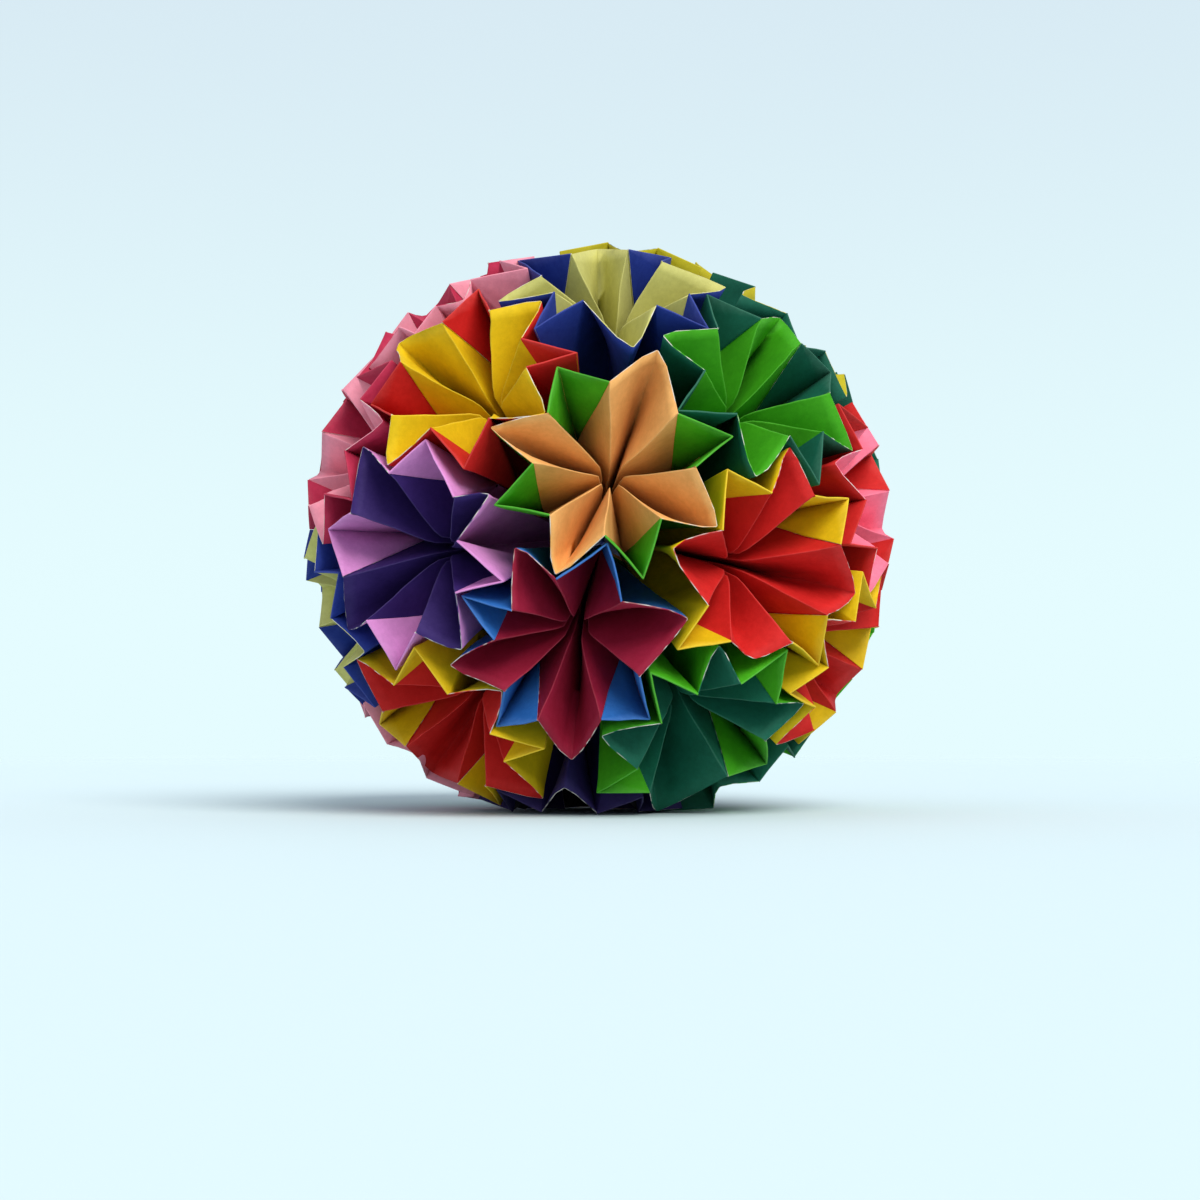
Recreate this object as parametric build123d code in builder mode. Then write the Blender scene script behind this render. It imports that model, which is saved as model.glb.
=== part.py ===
from build123d import *
import math
import os

import numpy as np

# Kusudama paper ball. Each flower is one sheet of two-colour paper, folded to a cone of
# sixteen facets: four petals end in the raw edge of the sheet, and between them four tips end
# in a corner of the sheet folded back inside. The flowers are glued to each other where their
# petals meet, and their closed points leave the middle of the ball hollow.

os.makedirs("parts", exist_ok=True)

# Ball, with the other radii as shares of its own
BALL_RADIUS = 75.0          # centre of the ball to the ridge ends of the petals
TIP_SHARE = 0.976           # to the petal tips
FLOOR_SHARE = 0.9267        # to the surface it rests on
THROAT_SHARE = 0.78         # to where a flower's pleats close
APEX_SHARE = 0.6133         # to the closed point of a flower
HOLE_SHARE = 0.032          # the hole in the middle of a flower
TIP_RADIUS = BALL_RADIUS * TIP_SHARE
FLOOR_DEPTH = BALL_RADIUS * FLOOR_SHARE
THROAT_RADIUS = BALL_RADIUS * THROAT_SHARE
APEX_RADIUS = BALL_RADIUS * APEX_SHARE
THROAT_HOLE = BALL_RADIUS * HOLE_SHARE

# Paper
PAPER_THICKNESS = 0.2
FLAP_LIFT = 0.3             # how far a folded-in corner stands off the petal at its point
CREASE_WIDTH = 0.4          # solid paper at the fold before the folded-in corner lifts off
GLUE_GAP = 0.45             # between the petals of neighbouring flowers
FLAP_POINT_SHARE = 0.586    # place of the corner's point along the valley crease
MITRE_DAMPING_SHARE = 0.05  # keeps the thickness bounded at very sharp folds

# Angles at the ball's centre between a flower's axis and its outline
TIP_ANGLE = math.radians(20.4)
NOTCH_ANGLE = math.radians(13.2)
WIDEST_SHARE = 1.22         # no petal reaches out further than this share of those angles
FACETS = 16

# Flowers
BACK_FLOWERS = 17
SPIRAL_START_SHARE = 0.5
RELAX_ROUNDS = 400
PUSH_POWER = 9
PUSH_STEP_SHARE = 0.12
TWIST_STEPS = 8
FIT_SWEEPS = 4
CLEAR_ROUNDS = 150
CLEAR_EXTRA_SHARE = 0.05
EDGE_SHARES = [0, 0.25, 0.5, 0.75]
NEAR_ANGLE = math.radians(48)  # between the axes of two flowers that may touch
SHIFT_ANGLE = math.radians(0.8)
CROWDING_DECIMALS = 9

# The photograph's camera: the ball's centre and outline in it, in pixels, and its own place
CENTRE_X_PX = 598
CENTRE_Y_PX = 537
BALL_RADIUS_PX = 292
CAMERA_DISTANCE_SHARE = 6.8
CAMERA_ELEVATION = math.radians(-5.5)

# Outlines in pixels, clockwise from a petal's tip: petal tip, ridge end, folded tip, ridge end
TRACED_PX = {
    "tan_flower": [
        (658, 352), (678, 413), (732, 437), (696, 468), (720, 529), (661, 519), (644, 579), (605, 536),
        (555, 575), (549, 515), (495, 504), (532, 463), (490, 428), (547, 414), (557, 367), (610, 382),
    ],
    "maroon_flower": [
        (515, 548), (556, 576), (608, 545), (623, 601), (687, 618), (640, 676), (653, 722), (600, 719),
        (571, 759), (539, 720), (493, 729), (504, 692), (450, 664), (494, 640), (460, 594), (512, 610),
    ],
    "green_flower": [
        (664, 336), (715, 327), (706, 295), (761, 319), (777, 308), (801, 343), (834, 374), (830, 393),
        (852, 449), (824, 431), (819, 487), (790, 439), (756, 477), (737, 415), (678, 411), (705, 371),
    ],
    "yellow_flower": [
        (397, 342), (443, 322), (478, 289), (489, 310), (542, 301), (522, 338), (577, 353), (527, 367),
        (545, 413), (491, 419), (465, 469), (430, 429), (386, 468), (392, 415), (371, 405), (400, 363),
    ],
    "purple_flower": [
        (363, 448), (388, 473), (427, 436), (462, 491), (488, 494), (457, 541), (504, 581), (454, 592),
        (461, 648), (416, 633), (396, 669), (366, 621), (348, 630), (343, 578), (329, 529), (351, 512),
    ],
    "red_flower": [
        (789, 445), (815, 495), (851, 495), (844, 544), (859, 593), (828, 615), (819, 667), (792, 644),
        (755, 658), (731, 642), (677, 651), (707, 604), (674, 549), (720, 529), (726, 467), (772, 494),
    ],
    "cream_flower": [
        (597, 242), (627, 250), (672, 257), (662, 262), (725, 287), (690, 295), (708, 329), (658, 308),
        (633, 350), (578, 309), (534, 331), (548, 296), (498, 301), (541, 276), (519, 261), (572, 254),
    ],
    "low_red_flower": [
        (357, 660), (393, 684), (414, 648), (448, 693), (503, 691), (493, 732), (547, 748), (504, 761),
        (543, 798), (486, 786), (502, 805), (457, 783), (431, 774), (406, 746), (373, 717), (383, 711),
    ],
    "dark_green_flower": [
        (718, 647), (742, 684), (787, 651), (778, 703), (804, 704), (766, 741), (769, 763), (728, 776),
        (654, 814), (651, 792), (597, 792), (638, 769), (599, 735), (659, 723), (649, 672), (698, 694),
    ],
}

# Where the hole in the middle of each traced flower shows
EYE_PX = {
    "tan_flower": (611, 475),
    "maroon_flower": (576, 629),
    "green_flower": (736, 412),
    "yellow_flower": (490, 408),
    "purple_flower": (443, 549),
    "red_flower": (735, 565),
    "cream_flower": (614, 326),
    "low_red_flower": (476, 696),
    "dark_green_flower": (680, 699),
}

# Flowers near the ball's outline, of which only some petals show: where each one's axis passes
SEEN_PX = {
    "bottom_black_flower": (592, 772),
    "left_pink_flower": (373, 465),
    "high_left_pink_flower": (467, 335),
    "low_left_cream_flower": (374, 622),
    "high_right_olive_flower": (736, 338),
    "right_pink_flower": (829, 484),
    "right_red_flower": (824, 624),
    "low_right_green_flower": (731, 738),
}

PIXEL = BALL_RADIUS / BALL_RADIUS_PX
CAMERA_DISTANCE = CAMERA_DISTANCE_SHARE * BALL_RADIUS
HALF_PAPER = PAPER_THICKNESS / 2
CLEAR_ANGLE = (GLUE_GAP + PAPER_THICKNESS) / TIP_RADIUS


def unit(vector):
    return vector / np.linalg.norm(vector, axis=-1, keepdims=True)


def direction_seen(pixel, radius):
    """Direction, from the ball's centre, of the near point at a radius that shows at a pixel."""
    across = (pixel[0] - CENTRE_X_PX) * PIXEL / CAMERA_DISTANCE
    up = (CENTRE_Y_PX - pixel[1]) * PIXEL / CAMERA_DISTANCE
    spread = 1 + across * across + up * up
    inside = max(0, CAMERA_DISTANCE**2 - spread * (CAMERA_DISTANCE**2 - radius**2))
    depth = (CAMERA_DISTANCE - math.sqrt(inside)) / spread
    toward = CAMERA_DISTANCE - depth
    sine, cosine = math.sin(CAMERA_ELEVATION), math.cos(CAMERA_ELEVATION)
    x, y = depth * across, depth * up
    return unit(np.array([x, y * sine - toward * cosine, y * cosine + toward * sine]))


def star(axis, twist):
    """Outline directions of a regular flower, clockwise as seen from outside the ball."""
    side = unit(np.cross([0, 0, 1], axis))
    ahead = np.cross(axis, side)
    outline = []
    for k in range(FACETS):
        turn = twist - k * 2 * math.pi / FACETS
        lean = TIP_ANGLE if k % 2 == 0 else NOTCH_ANGLE
        across = math.cos(turn) * side + math.sin(turn) * ahead
        outline.append(math.cos(lean) * axis + math.sin(lean) * across)
    return np.array(outline)


def entry(points, axis, outline):
    """How far each point lies inside an outline, as an angle, counting the glue gap as inside."""
    following = np.roll(outline, -1, axis=0)
    after_start = points @ np.cross(outline, axis).T >= 0
    before_end = points @ np.cross(axis, following).T >= 0
    inward = unit(np.cross(following, outline))
    depth = points @ inward.T + CLEAR_ANGLE
    ahead = (points @ axis > 0)[:, None]
    return np.where(after_start & before_end & ahead, depth, 0).clip(min=0)


def near_pairs(axes):
    """Pairs of flowers that are close enough to touch."""
    return [
        (i, j)
        for i in range(len(axes))
        for j in range(len(axes))
        if i != j and axes[i] @ axes[j] > math.cos(NEAR_ANGLE)
    ]


def spread(fixed, seen):
    """Evens out the flowers that are not traced: they push off each other and the fixed ones.

    The seen ones start where they show, and the others on a spiral over the back of the ball.
    """
    golden_turn = math.pi * (3 - math.sqrt(5))
    start = list(seen)
    for k in range(BACK_FLOWERS):
        back = (k + SPIRAL_START_SHARE) / BACK_FLOWERS
        rim = math.sqrt(1 - back * back)
        start.append([rim * math.cos(k * golden_turn), back, rim * math.sin(k * golden_turn)])
    free = np.array(start)
    for cycle in range(RELAX_ROUNDS):
        everyone = np.vstack([fixed, free])
        apart = free[:, None, :] - everyone[None]
        itself = np.eye(len(free), len(everyone), len(fixed))
        distance = np.linalg.norm(apart, axis=2) + itself
        push = (apart / distance[..., None] ** PUSH_POWER).sum(axis=1)
        push -= (push * free).sum(axis=1, keepdims=True) * free
        step = TIP_ANGLE * PUSH_STEP_SHARE * (1 - cycle / RELAX_ROUNDS)
        free = unit(free + step * push / np.linalg.norm(push, axis=1).max())
    return free


def held_in(outline, axis):
    """An outline with no point further from the axis than the widest that a petal opens."""
    held = []
    for k, point in enumerate(outline):
        widest = WIDEST_SHARE * (TIP_ANGLE if k % 2 == 0 else NOTCH_ANGLE)
        across = unit(point - (point @ axis) * axis)
        lean = min(math.acos(point @ axis), widest)
        held.append(math.cos(lean) * axis + math.sin(lean) * across)
    return np.array(held)


def crowding(i, axes, outlines, neighbours):
    total = 0
    for j in neighbours[i]:
        total += (entry(outlines[i], axes[j], outlines[j]) ** 2).sum()
        total += (entry(outlines[j], axes[i], outlines[i]) ** 2).sum()
    return round(total, CROWDING_DECIMALS)


def draw_back(outline, point, axis, angle):
    """Moves one point of an outline toward the flower's axis."""
    point %= FACETS
    outline[point] = unit(outline[point] + unit(axis - outline[point]) * angle)


def lay_out():
    """Axis and outline directions of every flower, none reaching into another."""
    names = list(TRACED_PX) + list(SEEN_PX)
    outlines = []
    axes = []
    for name, pixels in TRACED_PX.items():
        radii = [TIP_RADIUS, BALL_RADIUS] * (FACETS // 2)
        outline = np.array([direction_seen(p, r) for p, r in zip(pixels, radii)])
        axes.append(direction_seen(EYE_PX[name], THROAT_RADIUS))
        outlines.append(held_in(outline, axes[-1]))
    traced = len(axes)
    seen = [direction_seen(pixel, THROAT_RADIUS) for pixel in SEEN_PX.values()]
    names += [f"back_flower_{k + 1:02d}" for k in range(BACK_FLOWERS)]
    axes = np.vstack([axes, spread(np.array(axes), seen)])
    twists = np.zeros(len(axes))
    outlines += [star(axis, 0) for axis in axes[traced:]]
    pairs = near_pairs(axes)
    neighbours = {i: [j for k, j in pairs if k == i] for i in range(len(axes))}

    # The twist and the place of each untraced flower that crowd its neighbours least
    for sweep in range(FIT_SWEEPS):
        turns = np.linspace(-math.pi / 8, math.pi / 8, TWIST_STEPS) / (1 + sweep)
        for i in range(traced, len(axes)):
            side = unit(np.cross([0, 0, 1], axes[i]))
            ahead = np.cross(axes[i], side)
            best = crowding(i, axes, outlines, neighbours)
            kept = (axes[i], twists[i], outlines[i])
            shifts = [(0, 0), (1, 0), (-1, 0), (0, 1), (0, -1)] if sweep else [(0, 0)]
            for across, up in shifts:
                tried_axis = unit(kept[0] + (across * side + up * ahead) * SHIFT_ANGLE)
                for turn in turns:
                    tried_twist = kept[1] + turn
                    axes[i] = tried_axis
                    outlines[i] = star(tried_axis, tried_twist)
                    crowd = crowding(i, axes, outlines, neighbours)
                    if crowd < best:
                        best = crowd
                        kept = (tried_axis, tried_twist, outlines[i])
            axes[i], twists[i], outlines[i] = kept

    # Petals that still reach into a neighbour are drawn back until they clear it
    for cycle in range(CLEAR_ROUNDS):
        crossings = 0
        for i, j in pairs:
            following = np.roll(outlines[i], -1, axis=0)
            for share in EDGE_SHARES:
                samples = unit(outlines[i] * (1 - share) + following * share)
                inside = entry(samples, axes[j], outlines[j])
                for start, edge in zip(*np.nonzero(inside)):
                    crossings += 1
                    mine = 0.5 if (i < traced) == (j < traced) else float(i >= traced)
                    depth = inside[start, edge] + CLEAR_ANGLE * CLEAR_EXTRA_SHARE
                    draw_back(outlines[i], start, axes[i], depth * mine * (1 - share))
                    draw_back(outlines[i], start + 1, axes[i], depth * mine * share)
                    draw_back(outlines[j], edge, axes[j], depth * (1 - mine) / 2)
                    draw_back(outlines[j], edge + 1, axes[j], depth * (1 - mine) / 2)
        if crossings == 0:
            break
    return names, axes, outlines


def at_rim(direction, radius):
    """A point of a petal's edge, pressed flat where it would reach below the surface."""
    lowest = FLOOR_DEPTH - PAPER_THICKNESS * 2
    return direction * min(radius, lowest / max(-direction[2], lowest / radius))


def offset(corner, facets):
    """Half the paper's thickness at a corner, measured square to every facet that meets there."""
    normals = np.array([unit(np.cross(b - a, c - a)) for a, b, c in facets])
    damped = normals.T @ normals + np.eye(3) * MITRE_DAMPING_SHARE
    return np.linalg.solve(damped, normals.sum(axis=0)) * HALF_PAPER


def along(start, end, distance):
    return start + unit(end - start) * distance


def folded_sheet(axis, outline):
    """Triangles of the skin of one folded sheet of paper, corners in order around the outside."""
    apex = axis * APEX_RADIUS
    rim = [at_rim(d, TIP_RADIUS if k % 2 == 0 else BALL_RADIUS) for k, d in enumerate(outline)]
    throat = []
    for direction in outline:
        across = unit(direction - (direction @ axis) * axis)
        throat.append(axis * THROAT_RADIUS + across * THROAT_HOLE)
    middle = [apex + (point - apex) * FLAP_POINT_SHARE for point in rim]

    # Facets seen from inside the cup, two beside each valley crease, three triangles each
    facets = []
    for valley in range(0, FACETS, 2):
        for ridge in (valley + 1, valley - 1):
            ridge %= FACETS
            strips = [
                (("apex", 0), ("throat", ridge), ("middle", valley)),
                (("throat", ridge), ("rim", ridge), ("middle", valley)),
                (("rim", ridge), ("rim", valley), ("middle", valley)),
            ]
            turned = ridge != (valley + 1) % FACETS
            facets.append((valley, ridge, turned, strips))
    places = {("apex", 0): apex}
    for k in range(FACETS):
        places["rim", k] = rim[k]
        places["throat", k] = throat[k]
        places["middle", k] = middle[k]

    # Both faces of the paper, half its thickness to either side
    meeting = {}
    for valley, ridge, turned, strips in facets:
        for strip in strips:
            corners = [places[key] for key in strip]
            for key in strip:
                meeting.setdefault(key, []).append(corners[::-1] if turned else corners)
    shift = {key: offset(places[key], around) for key, around in meeting.items()}
    inner = {key: places[key] + shift[key] for key in shift}
    outer = {key: places[key] - shift[key] for key in shift}

    triangles = []
    for valley, ridge, turned, strips in facets:
        top, bend, point = ("rim", ridge), ("throat", ridge), ("middle", valley)
        tip = ("rim", valley)
        skin = [[outer[key] for key in reversed(strip)] for strip in strips]
        if valley % 4 == 0:
            # A petal that ends in the raw edge of the sheet
            skin += [[inner[key] for key in strip] for strip in strips]
            skin.append([inner[tip], inner[top], outer[top]])
            skin.append([inner[tip], outer[top], outer[tip]])
        else:
            # A petal whose corner is folded back inside, fast at the fold and free at its point
            flap_facets = [meeting[point][k] for k in range(len(meeting[point])) if k % 3 == 2]
            flap_shift = offset(places[point], flap_facets)
            lifted = inner[point] + unit(flap_shift) * FLAP_LIFT
            lifted_inside = lifted + flap_shift * 2
            fold_top = inner[top] + shift[top] * 2
            fold_tip = inner[tip] + shift[tip] * 2
            crease_top = along(inner[top], inner[point], CREASE_WIDTH)
            crease_tip = along(inner[tip], inner[point], CREASE_WIDTH)
            skin += [
                [inner["apex", 0], inner[bend], inner[point]],
                [inner[bend], inner[top], crease_top],
                [inner[bend], crease_top, inner[point]],
                [crease_top, crease_tip, inner[point]],
                [lifted, crease_tip, crease_top],
                [fold_top, fold_tip, lifted_inside],
                [fold_top, lifted_inside, lifted],
                [fold_top, lifted, crease_top],
                [fold_top, crease_top, inner[top]],
                [fold_tip, fold_top, inner[top]],
                [fold_tip, inner[top], outer[top]],
                [fold_tip, outer[top], outer[tip]],
            ]
        triangles += [corners[::-1] for corners in skin] if turned else skin
    return np.array(triangles)


names, axes, outlines = lay_out()
sheets = [folded_sheet(axis, outline) for axis, outline in zip(axes, outlines)]

# The origin is where the ball rests, under the middle of its box
corners = np.vstack([sheet.reshape(-1, 3) for sheet in sheets])
low, high = corners.min(axis=0), corners.max(axis=0)
rest = np.array([(low[0] + high[0]) / 2, (low[1] + high[1]) / 2, low[2]])

for name, sheet in zip(names, sheets):
    faces = [Face(Wire.make_polygon([tuple(corner) for corner in t - rest])) for t in sheet]
    with BuildPart() as flower:
        add(Solid(Shell(faces)))
    flower.part.label = name
    export_step(flower.part, f"parts/{name}.step")
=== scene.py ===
# %% [markdown]
# # A kusudama paper ball
#
# The ball is made of folded flowers. Each flower is one square sheet of paper with a colour
# of its own on either side, folded to a cup with sixteen facets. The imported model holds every
# flower as a plain folded solid. This script lays curved, creased paper over each of them,
# finishes both sides and the raw edges, and lights the ball as in soft daylight.

# %% Load the frame
import math

import bmesh
import bpy
import numpy as np
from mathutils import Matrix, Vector, noise


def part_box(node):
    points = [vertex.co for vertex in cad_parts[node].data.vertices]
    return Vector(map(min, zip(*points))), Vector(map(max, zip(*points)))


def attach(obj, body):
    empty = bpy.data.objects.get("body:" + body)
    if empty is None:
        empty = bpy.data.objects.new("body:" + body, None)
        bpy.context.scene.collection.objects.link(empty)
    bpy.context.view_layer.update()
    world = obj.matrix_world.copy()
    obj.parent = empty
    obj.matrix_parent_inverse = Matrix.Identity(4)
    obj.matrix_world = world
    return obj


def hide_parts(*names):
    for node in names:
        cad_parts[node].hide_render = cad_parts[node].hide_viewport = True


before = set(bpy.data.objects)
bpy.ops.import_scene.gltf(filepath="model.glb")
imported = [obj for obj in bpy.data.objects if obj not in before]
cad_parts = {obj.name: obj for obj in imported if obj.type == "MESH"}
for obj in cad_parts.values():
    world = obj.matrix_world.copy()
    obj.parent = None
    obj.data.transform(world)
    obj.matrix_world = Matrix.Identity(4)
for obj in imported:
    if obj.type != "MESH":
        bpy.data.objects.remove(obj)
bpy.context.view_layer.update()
print("flowers in the frame:", len(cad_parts))

# %% [markdown]
# ## Sizes
#
# All sizes are in millimetres, because that is how paper is measured, and one factor turns
# them into Blender's metres. They are the sizes that the folded solids were made with.

# %% Sizes of the ball and its paper
MM = 0.001

# Ball, with the other radii as shares of its own
BALL_RADIUS = 75.0          # centre of the ball to the ridge ends of the petals
TIP_SHARE = 0.976           # to the petal tips
FLOOR_SHARE = 0.9267        # to the surface it rests on
THROAT_SHARE = 0.78         # to where a flower's pleats close
APEX_SHARE = 0.6133         # to the closed point of a flower
HOLE_SHARE = 0.032          # the hole in the middle of a flower
TIP_RADIUS = BALL_RADIUS * TIP_SHARE
FLOOR_DEPTH = BALL_RADIUS * FLOOR_SHARE
THROAT_RADIUS = BALL_RADIUS * THROAT_SHARE
APEX_RADIUS = BALL_RADIUS * APEX_SHARE
THROAT_HOLE = BALL_RADIUS * HOLE_SHARE

# Paper
PAPER_THICKNESS = 0.2
GLUE_GAP = 0.45             # between the petals of neighbouring flowers
print("ball about", 2 * BALL_RADIUS, "mm across, paper", PAPER_THICKNESS, "mm thick")

# %% [markdown]
# ## Where the flowers lie
#
# The flowers on the photographed side were placed by where their petals' points show in the
# picture. A point of the picture is a ray from the camera, and where that ray meets the ball
# is a direction from the ball's centre. The same named points serve here as in the folded
# solids, so the curved paper falls exactly on them.

# %% The camera and the points seen in the picture
# The ball's centre and outline in the picture, in pixels, and the camera's own place
CENTRE_X_PX = 598
CENTRE_Y_PX = 537
BALL_RADIUS_PX = 292
CAMERA_DISTANCE_SHARE = 6.8
CAMERA_ELEVATION = math.radians(-5.5)
PIXEL = BALL_RADIUS / BALL_RADIUS_PX
CAMERA_DISTANCE = CAMERA_DISTANCE_SHARE * BALL_RADIUS

# Outlines in pixels, clockwise from a petal's tip: petal tip, ridge end, folded tip, ridge end
TRACED_PX = {
    "tan_flower": [
        (658, 352), (678, 413), (732, 437), (696, 468), (720, 529), (661, 519), (644, 579), (605, 536),
        (555, 575), (549, 515), (495, 504), (532, 463), (490, 428), (547, 414), (557, 367), (610, 382),
    ],
    "maroon_flower": [
        (515, 548), (556, 576), (608, 545), (623, 601), (687, 618), (640, 676), (653, 722), (600, 719),
        (571, 759), (539, 720), (493, 729), (504, 692), (450, 664), (494, 640), (460, 594), (512, 610),
    ],
    "green_flower": [
        (664, 336), (715, 327), (706, 295), (761, 319), (777, 308), (801, 343), (834, 374), (830, 393),
        (852, 449), (824, 431), (819, 487), (790, 439), (756, 477), (737, 415), (678, 411), (705, 371),
    ],
    "yellow_flower": [
        (397, 342), (443, 322), (478, 289), (489, 310), (542, 301), (522, 338), (577, 353), (527, 367),
        (545, 413), (491, 419), (465, 469), (430, 429), (386, 468), (392, 415), (371, 405), (400, 363),
    ],
    "purple_flower": [
        (363, 448), (388, 473), (427, 436), (462, 491), (488, 494), (457, 541), (504, 581), (454, 592),
        (461, 648), (416, 633), (396, 669), (366, 621), (348, 630), (343, 578), (329, 529), (351, 512),
    ],
    "red_flower": [
        (789, 445), (815, 495), (851, 495), (844, 544), (859, 593), (828, 615), (819, 667), (792, 644),
        (755, 658), (731, 642), (677, 651), (707, 604), (674, 549), (720, 529), (726, 467), (772, 494),
    ],
    "cream_flower": [
        (597, 242), (627, 250), (672, 257), (662, 262), (725, 287), (690, 295), (708, 329), (658, 308),
        (633, 350), (578, 309), (534, 331), (548, 296), (498, 301), (541, 276), (519, 261), (572, 254),
    ],
    "low_red_flower": [
        (357, 660), (393, 684), (414, 648), (448, 693), (503, 691), (493, 732), (547, 748), (504, 761),
        (543, 798), (486, 786), (502, 805), (457, 783), (431, 774), (406, 746), (373, 717), (383, 711),
    ],
    "dark_green_flower": [
        (718, 647), (742, 684), (787, 651), (778, 703), (804, 704), (766, 741), (769, 763), (728, 776),
        (654, 814), (651, 792), (597, 792), (638, 769), (599, 735), (659, 723), (649, 672), (698, 694),
    ],
}

# Where the hole in the middle of each traced flower shows
EYE_PX = {
    "tan_flower": (611, 475),
    "maroon_flower": (576, 629),
    "green_flower": (736, 412),
    "yellow_flower": (490, 408),
    "purple_flower": (443, 549),
    "red_flower": (735, 565),
    "cream_flower": (614, 326),
    "low_red_flower": (476, 696),
    "dark_green_flower": (680, 699),
}

# Flowers near the ball's outline, of which only some petals show: where each one's axis passes
SEEN_PX = {
    "bottom_black_flower": (592, 772),
    "left_pink_flower": (373, 465),
    "high_left_pink_flower": (467, 335),
    "low_left_cream_flower": (374, 622),
    "high_right_olive_flower": (736, 338),
    "right_pink_flower": (829, 484),
    "right_red_flower": (824, 624),
    "low_right_green_flower": (731, 738),
}
print("traced flowers:", len(TRACED_PX), " partly seen:", len(SEEN_PX))

# %% Directions from points of the picture


def unit(vector):
    return vector / np.linalg.norm(vector, axis=-1, keepdims=True)


def direction_seen(pixel, radius):
    """Direction, from the ball's centre, of the near point at a radius that shows at a pixel."""
    across = (pixel[0] - CENTRE_X_PX) * PIXEL / CAMERA_DISTANCE
    up = (CENTRE_Y_PX - pixel[1]) * PIXEL / CAMERA_DISTANCE
    spread = 1 + across * across + up * up
    inside = max(0, CAMERA_DISTANCE**2 - spread * (CAMERA_DISTANCE**2 - radius**2))
    depth = (CAMERA_DISTANCE - math.sqrt(inside)) / spread
    toward = CAMERA_DISTANCE - depth
    sine, cosine = math.sin(CAMERA_ELEVATION), math.cos(CAMERA_ELEVATION)
    x, y = depth * across, depth * up
    return unit(np.array([x, y * sine - toward * cosine, y * cosine + toward * sine]))


facing = direction_seen(EYE_PX["tan_flower"], THROAT_RADIUS)
print("the tan flower faces", facing.round(2))

# %% [markdown]
# A flower that the picture doesn't show whole is drawn as a regular star: petal tips and, nearer
# to its axis, the notches between them. Both are angles at the ball's centre, so one star fits
# the ball wherever it is put.

# %% A regular flower
TIP_ANGLE = math.radians(20.4)
NOTCH_ANGLE = math.radians(13.2)
FACETS = 16


def star(axis, twist):
    """Outline directions of a regular flower, clockwise as seen from outside the ball."""
    side = unit(np.cross([0, 0, 1], axis))
    ahead = np.cross(axis, side)
    outline = []
    for k in range(FACETS):
        turn = twist - k * 2 * math.pi / FACETS
        lean = TIP_ANGLE if k % 2 == 0 else NOTCH_ANGLE
        across = math.cos(turn) * side + math.sin(turn) * ahead
        outline.append(math.cos(lean) * axis + math.sin(lean) * across)
    return np.array(outline)


print("points of an outline:", len(star(facing, 0)))

# %% [markdown]
# ## Keeping flowers apart
#
# Every flower is a cone of paper that opens outward from a point on its axis. Seen from the
# middle of the ball, each one fills just its own star. So two flowers clear each other as long
# as their stars don't overlap, and that can be tested with directions alone.

# %% How far one star reaches into another
CLEAR_ANGLE = (GLUE_GAP + PAPER_THICKNESS) / TIP_RADIUS
NEAR_ANGLE = math.radians(48)  # between the axes of two flowers that may touch


def entry(points, axis, outline):
    """How far each point lies inside an outline, as an angle, counting the glue gap as inside."""
    following = np.roll(outline, -1, axis=0)
    after_start = points @ np.cross(outline, axis).T >= 0
    before_end = points @ np.cross(axis, following).T >= 0
    inward = unit(np.cross(following, outline))
    depth = points @ inward.T + CLEAR_ANGLE
    ahead = (points @ axis > 0)[:, None]
    return np.where(after_start & before_end & ahead, depth, 0).clip(min=0)


def near_pairs(axes):
    """Pairs of flowers that are close enough to touch."""
    return [
        (i, j)
        for i in range(len(axes))
        for j in range(len(axes))
        if i != j and axes[i] @ axes[j] > math.cos(NEAR_ANGLE)
    ]


print("stars stay", round(math.degrees(CLEAR_ANGLE), 2), "degrees apart")

# %% [markdown]
# The flowers that the picture doesn't show start on a spiral over the back and push each
# other apart like equal charges, which is a common way to spread points over a sphere.

# %% Spread the unseen flowers
BACK_FLOWERS = 17
SPIRAL_START_SHARE = 0.5
RELAX_ROUNDS = 400
PUSH_POWER = 9
PUSH_STEP_SHARE = 0.12


def spread(fixed, seen):
    """Evens out the flowers that are not traced: they push off each other and the fixed ones.

    The seen ones start where they show, and the others on a spiral over the back of the ball.
    """
    golden_turn = math.pi * (3 - math.sqrt(5))
    start = list(seen)
    for k in range(BACK_FLOWERS):
        back = (k + SPIRAL_START_SHARE) / BACK_FLOWERS
        rim = math.sqrt(1 - back * back)
        start.append([rim * math.cos(k * golden_turn), back, rim * math.sin(k * golden_turn)])
    free = np.array(start)
    for cycle in range(RELAX_ROUNDS):
        everyone = np.vstack([fixed, free])
        apart = free[:, None, :] - everyone[None]
        itself = np.eye(len(free), len(everyone), len(fixed))
        distance = np.linalg.norm(apart, axis=2) + itself
        push = (apart / distance[..., None] ** PUSH_POWER).sum(axis=1)
        push -= (push * free).sum(axis=1, keepdims=True) * free
        step = TIP_ANGLE * PUSH_STEP_SHARE * (1 - cycle / RELAX_ROUNDS)
        free = unit(free + step * push / np.linalg.norm(push, axis=1).max())
    return free


print("flowers to spread:", len(SEEN_PX) + BACK_FLOWERS)

# %% [markdown]
# Now every flower gets its axis and a first outline. The traced ones take theirs from the
# picture. Near the ball's edge a small slip in the picture is a long way on the ball, so no
# traced petal may open much further than a regular one.

# %% First place of every flower
WIDEST_SHARE = 1.22         # no petal reaches out further than this share of its angle


def held_in(outline, axis):
    """An outline with no point further from the axis than the widest that a petal opens."""
    held = []
    for k, point in enumerate(outline):
        widest = WIDEST_SHARE * (TIP_ANGLE if k % 2 == 0 else NOTCH_ANGLE)
        across = unit(point - (point @ axis) * axis)
        lean = min(math.acos(point @ axis), widest)
        held.append(math.cos(lean) * axis + math.sin(lean) * across)
    return np.array(held)


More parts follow.
